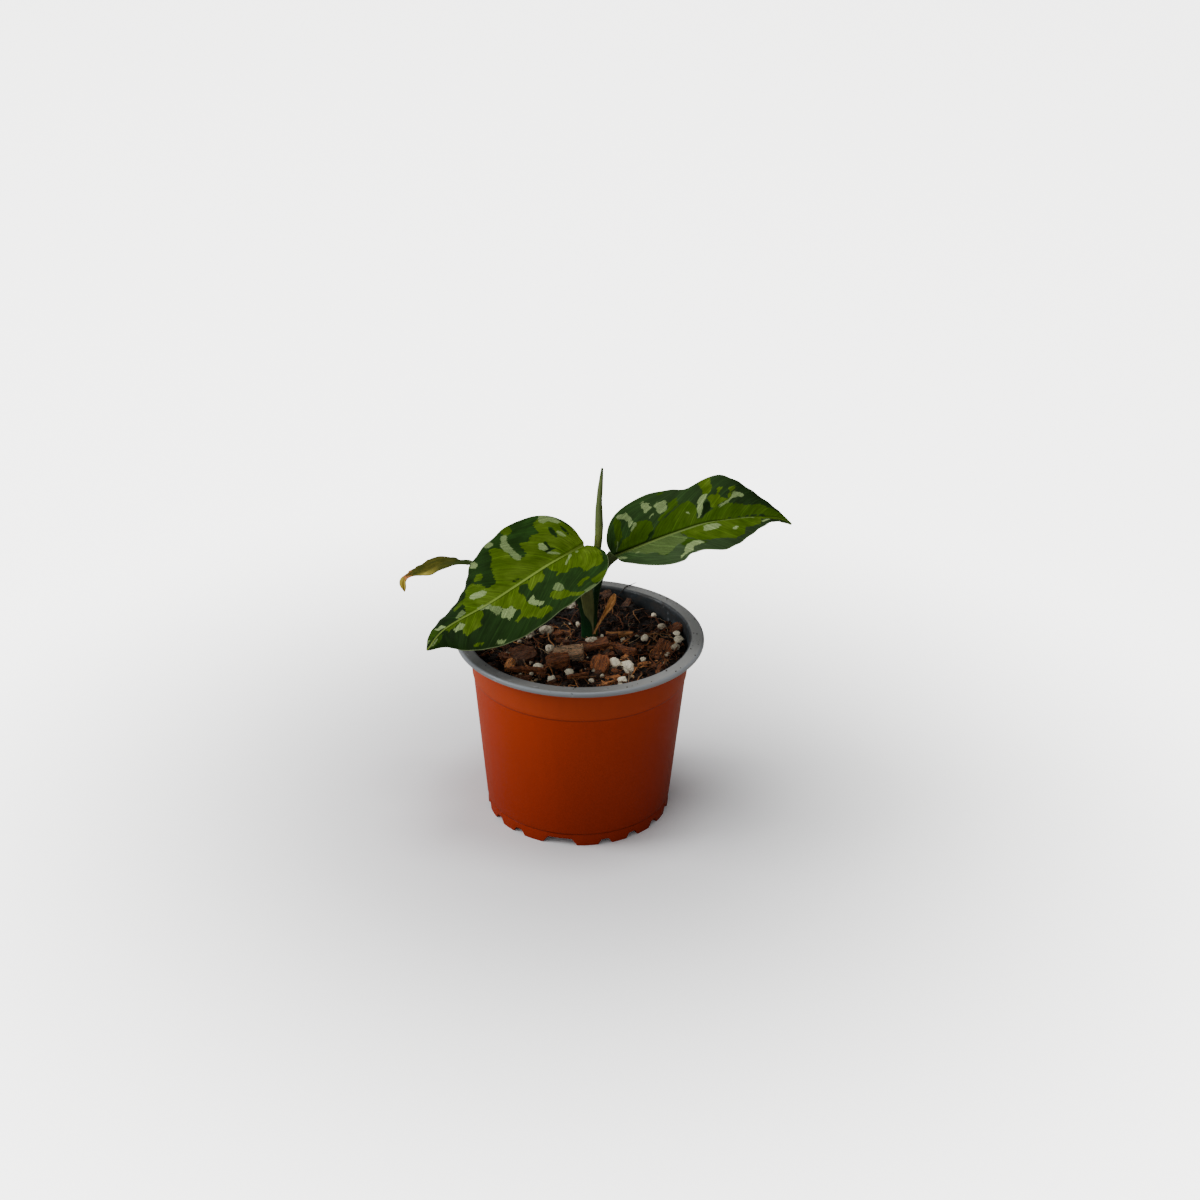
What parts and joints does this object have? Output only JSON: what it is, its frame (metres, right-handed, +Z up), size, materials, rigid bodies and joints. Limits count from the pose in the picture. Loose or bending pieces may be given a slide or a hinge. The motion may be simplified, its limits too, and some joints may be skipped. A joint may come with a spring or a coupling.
{
  "type": "potted tricolor aglaonema pictum",
  "caption": "Young variegated aroid with broad camouflage-patterned leaves on slim stalks, growing in bark mix in a round plastic nursery pot.",
  "frame": {"origin": "middle of the whole plant's footprint, on the surface that the pot stands on; the pot's axis is 3.7 mm towards -X", "axes": "+Z up along the pot's axis, +X to the right and -Y to the front as the plant is seen with its large leaf leaning to the front left"},
  "size_m": [0.1399, 0.09, 0.1313],
  "materials": {
    "pot_plastic": "satin terracotta outside, grey inside and on the rim",
    "bark_mix": "damp bark, humus, fibres and white perlite",
    "green_stem": "satin living skin",
    "pale_stalk": "satin living skin",
    "dark_stalk": "satin living skin",
    "variegated_leaf": "satin leaf in dark green, lime and silver patches",
    "withered_leaf": "dull olive leaf, yellow at the edge",
    "rolled_leaf": "satin pale green",
    "dry_bract": "dry, papery, orange brown"
  },
  "bodies": {
    "root": {"pot": "pot_plastic", "potting_mix": "bark_mix", "stem": "green_stem", "petiole_front": "pale_stalk", "petiole_right": "dark_stalk", "petiole_left": "dark_stalk", "leaf_front": "variegated_leaf", "leaf_right": "variegated_leaf", "leaf_left": "withered_leaf", "new_leaf": "rolled_leaf", "cataphyll": "dry_bract"}
  },
  "joints": []
}
